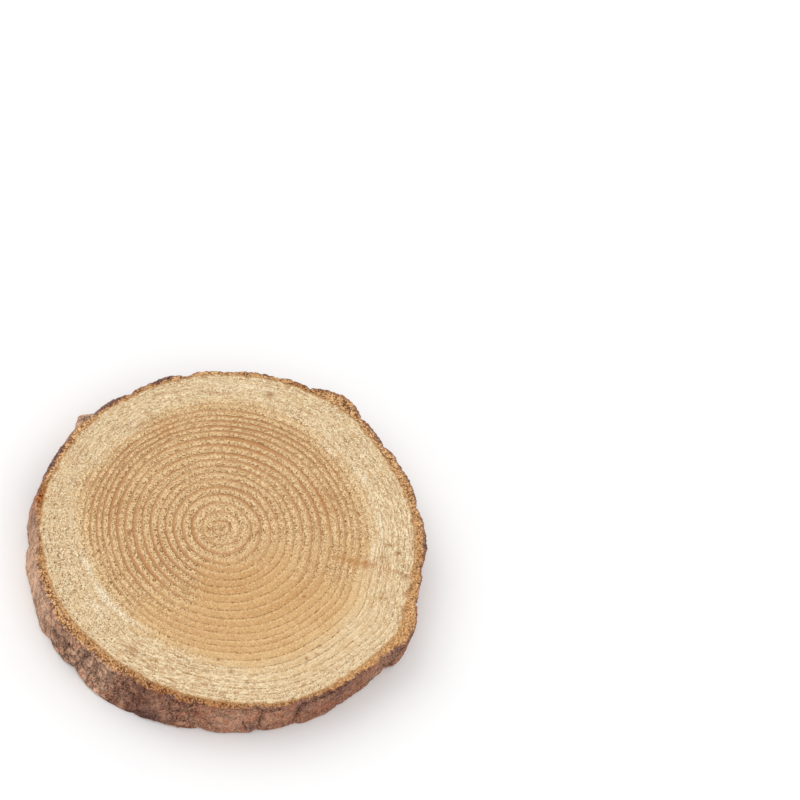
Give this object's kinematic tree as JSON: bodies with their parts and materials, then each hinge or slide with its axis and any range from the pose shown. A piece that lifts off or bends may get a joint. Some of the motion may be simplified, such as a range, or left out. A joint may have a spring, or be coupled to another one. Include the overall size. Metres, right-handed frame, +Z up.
{
  "type": "wood slice",
  "caption": "Round slice sawn across a conifer trunk, with rough bark round its rim and growth rings on the cut face, lying flat as a coaster, base or display stand.",
  "frame": {"origin": "middle of the slice's bounding box on its lower saw cut, which lies on the surface", "axes": "+Z up, along the trunk, out of the upper saw cut; +X towards the side where the trunk reaches furthest; +Y away from the viewer of the picture"},
  "size_m": [0.1296, 0.128, 0.017],
  "materials": {
    "wood": "rough sawn, unfinished",
    "bark": "rough, dry"
  },
  "bodies": {
    "root": {"wood_slice": "wood"}
  },
  "joints": []
}
